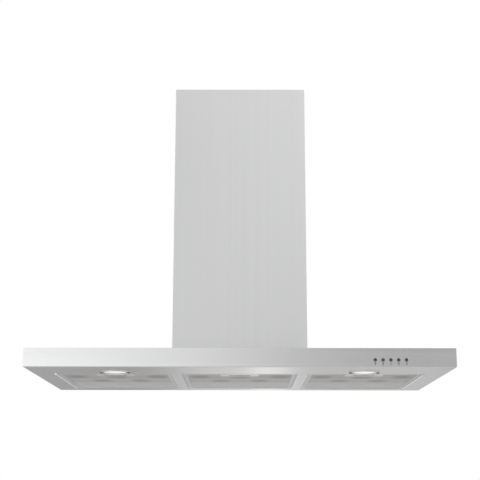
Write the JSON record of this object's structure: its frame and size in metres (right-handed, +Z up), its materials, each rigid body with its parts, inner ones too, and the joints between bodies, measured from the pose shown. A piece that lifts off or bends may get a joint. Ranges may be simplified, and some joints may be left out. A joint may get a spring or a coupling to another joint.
{
  "type": "range hood",
  "caption": "Wall-mounted chimney hood: flat stainless canopy with mesh filters, lamps and push buttons under a telescopic chimney that hides the blower.",
  "frame": {"origin": "on the wall plane, midway across the hood, level with the canopy's underside", "axes": "+X to the right as the cook faces the hood, +Y into the wall, +Z up"},
  "size_m": [0.9, 0.5022, 0.7004],
  "materials": {
    "stainless": "vertical hairline brushed stainless steel",
    "galvanised": "plain galvanised sheet",
    "zinc": "bright zinc plate",
    "chrome_trim": "bright-plated cast alloy",
    "lamp_glow": "frosted lens, lit",
    "aluminium_frame": "rolled aluminium channel",
    "aluminium_mesh": "expanded aluminium sheet",
    "latch_grey": "moulded plastic with a silver lacquer",
    "spring_steel": "bright spring strip",
    "button_black": "polished black",
    "black_plastic": "moulded black plastic",
    "grey_plastic": "moulded grey plastic",
    "motor_can": "painted motor can",
    "board_green": "lacquered circuit board",
    "capacitor_sleeve": "white sleeve",
    "terminal_white": "white nylon"
  },
  "bodies": {
    "hood": {"canopy_shell": "stainless", "lower_chimney": "stainless", "canopy_lid": "galvanised", "blower_box": "galvanised", "wall_hooks": "galvanised", "electrical_box": "galvanised", "electrical_cover": "galvanised", "lamp_housings": "chrome_trim", "lamp_lenses": "lamp_glow", "button_guide": "black_plastic", "switch_block": "black_plastic", "scroll_tub": "grey_plastic", "scroll_cover": "grey_plastic", "outlet_collar": "black_plastic", "cable_gland": "black_plastic", "motor": "motor_can", "control_board": "board_green", "capacitor": "capacitor_sleeve", "terminal_block": "terminal_white"},
    "filter_left": {"filter_frame_left": "aluminium_frame", "filter_mesh_left": "aluminium_mesh", "filter_core_left": "aluminium_mesh", "latch_housing_left": "latch_grey", "latch_spring_left": "spring_steel"},
    "latch_left": {"latch_slider_left": "latch_grey"},
    "filter_middle": {"filter_frame_middle": "aluminium_frame", "filter_mesh_middle": "aluminium_mesh", "filter_core_middle": "aluminium_mesh", "latch_housing_middle": "latch_grey", "latch_spring_middle": "spring_steel"},
    "latch_middle": {"latch_slider_middle": "latch_grey"},
    "filter_right": {"filter_frame_right": "aluminium_frame", "filter_mesh_right": "aluminium_mesh", "filter_core_right": "aluminium_mesh", "latch_housing_right": "latch_grey", "latch_spring_right": "spring_steel"},
    "latch_right": {"latch_slider_right": "latch_grey"},
    "button_lamp": {"button_lamp": "button_black"},
    "button_stop": {"button_stop": "button_black"},
    "button_low": {"button_low": "button_black"},
    "button_medium": {"button_medium": "button_black"},
    "button_high": {"button_high": "button_black"},
    "impeller": {"impeller": "grey_plastic", "motor_shaft": "zinc"},
    "flap_front": {"flap_front": "black_plastic"},
    "flap_rear": {"flap_rear": "black_plastic"},
    "upper_chimney": {"upper_chimney": "stainless", "chimney_bracket": "galvanised"}
  },
  "joints": [
    {"name": "filter_left_hinge", "type": "hinge", "parent": "hood", "child": "filter_left", "pos_m": [-0.275, -0.051, 0.0013], "axis": [1, 0, 0], "range_deg": [0, 70]},
    {"name": "latch_left_slide", "type": "slide", "parent": "filter_left", "child": "latch_left", "axis": [0, 1, 0], "range_m": [0, 0.006], "stiffness_N_per_m": 300, "springref_m": -0.003, "deforming": ["latch_spring_left"]},
    {"name": "filter_middle_hinge", "type": "hinge", "parent": "hood", "child": "filter_middle", "pos_m": [0, -0.051, 0.0013], "axis": [1, 0, 0], "range_deg": [0, 70]},
    {"name": "latch_middle_slide", "type": "slide", "parent": "filter_middle", "child": "latch_middle", "axis": [0, 1, 0], "range_m": [0, 0.006], "stiffness_N_per_m": 300, "springref_m": -0.003, "deforming": ["latch_spring_middle"]},
    {"name": "filter_right_hinge", "type": "hinge", "parent": "hood", "child": "filter_right", "pos_m": [0.275, -0.051, 0.0013], "axis": [1, 0, 0], "range_deg": [0, 70]},
    {"name": "latch_right_slide", "type": "slide", "parent": "filter_right", "child": "latch_right", "axis": [0, 1, 0], "range_m": [0, 0.006], "stiffness_N_per_m": 300, "springref_m": -0.003, "deforming": ["latch_spring_right"]},
    {"name": "button_lamp_press", "type": "slide", "parent": "hood", "child": "button_lamp", "axis": [0, 1, 0], "range_m": [0, 0.002], "stiffness_N_per_m": 600, "springref_m": -0.001},
    {"name": "button_stop_press", "type": "slide", "parent": "hood", "child": "button_stop", "axis": [0, 1, 0], "range_m": [0, 0.002], "stiffness_N_per_m": 600, "springref_m": -0.001},
    {"name": "button_low_press", "type": "slide", "parent": "hood", "child": "button_low", "axis": [0, 1, 0], "range_m": [0, 0.002], "stiffness_N_per_m": 600, "springref_m": -0.001},
    {"name": "button_medium_press", "type": "slide", "parent": "hood", "child": "button_medium", "axis": [0, 1, 0], "range_m": [0, 0.002], "stiffness_N_per_m": 600, "springref_m": -0.001},
    {"name": "button_high_press", "type": "slide", "parent": "hood", "child": "button_high", "axis": [0, 1, 0], "range_m": [0, 0.002], "stiffness_N_per_m": 600, "springref_m": -0.001},
    {"name": "impeller_spin", "type": "hinge", "parent": "hood", "child": "impeller", "pos_m": [0, -0.139, 0.17], "axis": [1, 0, 0], "continuous": true},
    {"name": "flap_front_hinge", "type": "hinge", "parent": "hood", "child": "flap_front", "pos_m": [0, -0.0935, 0.405], "axis": [-1, 0, 0], "range_deg": [0, 80]},
    {"name": "flap_rear_hinge", "type": "hinge", "parent": "hood", "child": "flap_rear", "pos_m": [0, -0.0845, 0.405], "axis": [1, 0, 0], "range_deg": [0, 80]},
    {"name": "upper_chimney_slide", "type": "slide", "parent": "hood", "child": "upper_chimney", "axis": [0, 0, 1], "range_m": [0, 0.45]}
  ]
}
